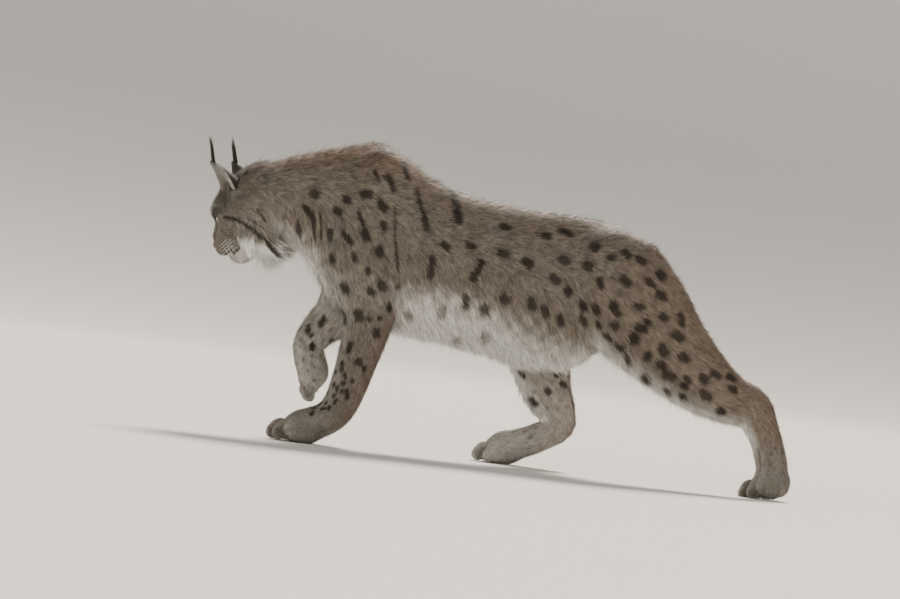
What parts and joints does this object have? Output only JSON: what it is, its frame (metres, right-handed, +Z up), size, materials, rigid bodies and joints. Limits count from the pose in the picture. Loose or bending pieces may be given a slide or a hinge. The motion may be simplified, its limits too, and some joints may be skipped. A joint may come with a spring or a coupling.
{
  "type": "eurasian lynx, still life-size model",
  "caption": "Still life-size lynx in mid stride, head low, with ear tufts, cheek ruff and short tail; it stands on three paws.",
  "frame": {"origin": "middle of the object's box, at the height of its soles", "axes": "+Z up, the animal faces -X, its left side is -Y"},
  "size_m": [1.3174, 0.2582, 0.6563],
  "materials": {
    "coat_grey": "dense grey-buff fur with dark brown spots",
    "coat_pale": "short pale fur of the feet, with small spots",
    "coat_tail": "dense fur, grey-buff with a black tip",
    "coat_ear": "short dark fur, with a pale patch behind and a long black tuft",
    "eye_amber": "glossy amber eye with a dark pupil"
  },
  "bodies": {
    "root": {"head": "coat_grey", "neck": "coat_grey", "torso": "coat_grey", "tail": "coat_tail", "ear_left": "coat_ear", "ear_right": "coat_ear", "eye_left": "eye_amber", "eye_right": "eye_amber", "foreleg_left_upper": "coat_grey", "foreleg_left_lower": "coat_grey", "forepaw_left": "coat_pale", "foreleg_right_upper": "coat_grey", "foreleg_right_lower": "coat_grey", "forepaw_right": "coat_pale", "hindleg_left_upper": "coat_grey", "hindleg_left_lower": "coat_grey", "hindpaw_left": "coat_pale", "hindleg_right_upper": "coat_grey", "hindleg_right_lower": "coat_grey", "hindpaw_right": "coat_pale"}
  },
  "joints": []
}
